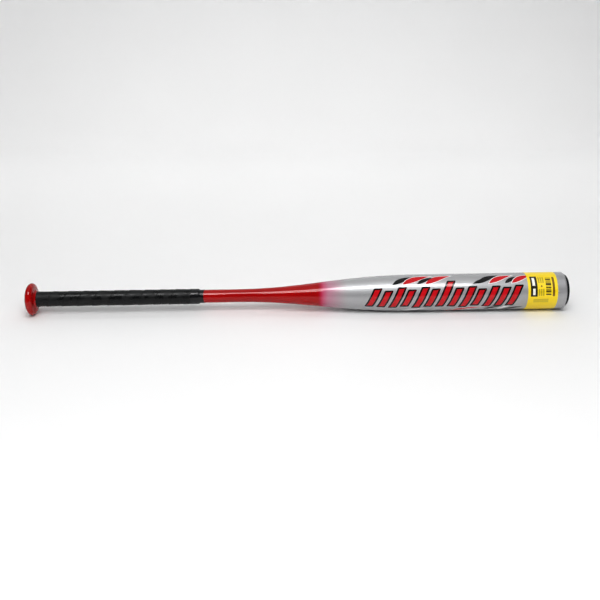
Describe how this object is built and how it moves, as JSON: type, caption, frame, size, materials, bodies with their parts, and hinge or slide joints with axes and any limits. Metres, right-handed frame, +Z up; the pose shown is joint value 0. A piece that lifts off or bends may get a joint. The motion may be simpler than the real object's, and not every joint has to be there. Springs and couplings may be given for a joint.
{
  "type": "baseball bat",
  "caption": "Hollow aluminium softball bat with a flared knob, spiral leather grip, long taper and a plain barrel closed by a domed cap.",
  "frame": {"origin": "centre of the knob's flat end face, on the bat's own axis", "axes": "+X along the bat from the knob to the end cap, +Z up when the bat lies on its side, with the label's print towards -Y and +Z"},
  "size_m": [0.8375, 0.0574, 0.0574],
  "materials": {
    "painted_tube": "gloss",
    "red_knob": "gloss",
    "weld_metal": "gloss",
    "plug_plastic": "satin",
    "handle_foam": "matte",
    "cloth_tape": "matte",
    "grip_leather": "satin",
    "tape_film": "gloss",
    "cap_plastic": "satin",
    "adhesive": "satin",
    "barrel_foam": "matte",
    "label_paper": "gloss"
  },
  "bodies": {
    "root": {"bat_shell": "painted_tube", "knob": "red_knob", "knob_weld": "weld_metal", "knob_plug": "plug_plastic", "handle_damper": "handle_foam", "grip_base_tape": "cloth_tape", "grip_wrap": "grip_leather", "finishing_tape": "tape_film", "end_cap": "cap_plastic", "cap_adhesive": "adhesive", "barrel_foam": "barrel_foam", "label_band": "label_paper"}
  },
  "joints": []
}
